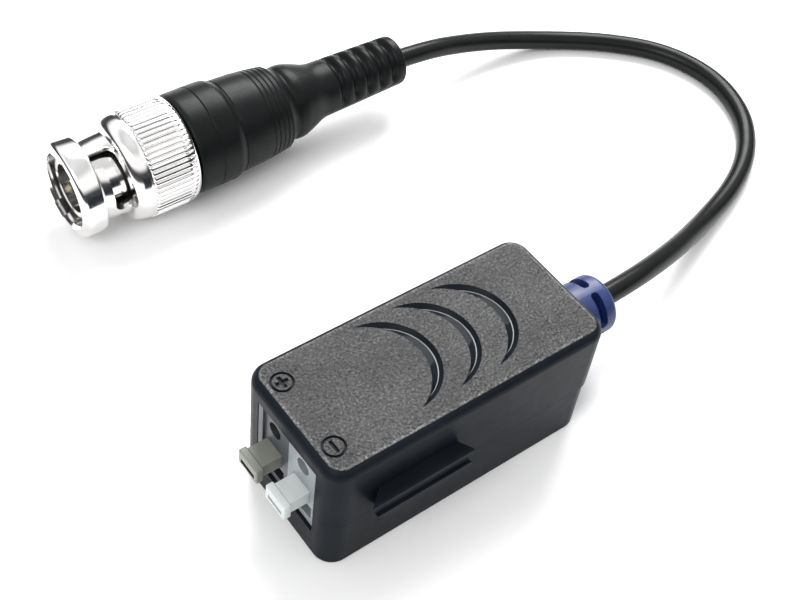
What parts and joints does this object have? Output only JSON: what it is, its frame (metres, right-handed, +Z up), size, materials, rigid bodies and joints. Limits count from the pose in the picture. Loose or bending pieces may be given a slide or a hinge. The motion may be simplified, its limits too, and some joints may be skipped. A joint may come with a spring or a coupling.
{
  "type": "passive video balun",
  "caption": "Small two-shell video balun with a two-pole push terminal and a pigtail cable ending in a bayonet coaxial plug.",
  "frame": {"origin": "middle of the housing's base face, halfway between its front and rear walls", "axes": "+X along the housing from the terminals to the cable, +Z up from the base, +Y towards the side where the cable comes back with the plug"},
  "size_m": [0.1014, 0.0683, 0.0174],
  "materials": {
    "housing": "spark-textured ABS on the lid, satin elsewhere",
    "gland": "moulded blue PVC",
    "cable_jacket": "satin black PVC jacket",
    "boot": "satin black moulded PVC",
    "nickel": "bright nickel plate",
    "gold_contact": "gold flash on brass",
    "insulator": "white polymer",
    "silicone": "black silicone",
    "spring_steel": "spring steel",
    "tinned_copper": "tinned copper",
    "winding_wire": "enamelled copper wire",
    "board": "solder-masked laminate",
    "ferrite": "sintered ferrite",
    "suppressor": "ceramic tube",
    "chip_tan": "ceramic chip",
    "chip_dark": "glazed chip",
    "terminal_grey": "grey polyamide",
    "terminal_white": "milky polyamide"
  },
  "bodies": {
    "housing": {"upper_shell": "housing", "lower_shell": "housing", "circuit_board": "board", "ferrite_core": "ferrite", "winding_primary": "winding_wire", "winding_secondary": "winding_wire", "surge_suppressor": "suppressor", "input_capacitor": "chip_tan", "output_capacitor": "chip_tan", "load_resistor": "chip_dark", "cable_gland": "gland", "cable": "cable_jacket", "signal_lead": "winding_wire", "shield_lead": "tinned_copper", "plug_body": "nickel", "plug_insulator": "insulator", "centre_pin": "gold_contact", "gasket": "silicone", "spring_washer": "spring_steel", "crimp_ferrule": "nickel", "cable_core": "insulator", "plug_boot": "boot", "terminal_housing_plus": "terminal_grey", "terminal_housing_minus": "terminal_white", "clamp_spring_plus": "spring_steel", "clamp_spring_minus": "spring_steel", "contact_bar_plus": "tinned_copper", "contact_bar_minus": "tinned_copper"},
    "lever_plus": {"lever_plus": "terminal_grey"},
    "lever_minus": {"lever_minus": "terminal_white"},
    "coupling_nut": {"coupling_nut": "nickel", "retaining_ring": "spring_steel"}
  },
  "joints": [
    {"name": "lever_plus_press", "type": "slide", "parent": "housing", "child": "lever_plus", "axis": [1, 0, 0], "range_m": [0, 0.0016], "stiffness_N_per_m": 1500, "deforming": ["clamp_spring_plus"]},
    {"name": "lever_minus_press", "type": "slide", "parent": "housing", "child": "lever_minus", "axis": [1, 0, 0], "range_m": [0, 0.0016], "stiffness_N_per_m": 1500, "deforming": ["clamp_spring_minus"]},
    {"name": "coupling_nut_turn", "type": "hinge", "parent": "housing", "child": "coupling_nut", "pos_m": [-0.01895, 0.0506, 0.0074], "axis": [1, 0, 0], "continuous": true}
  ]
}
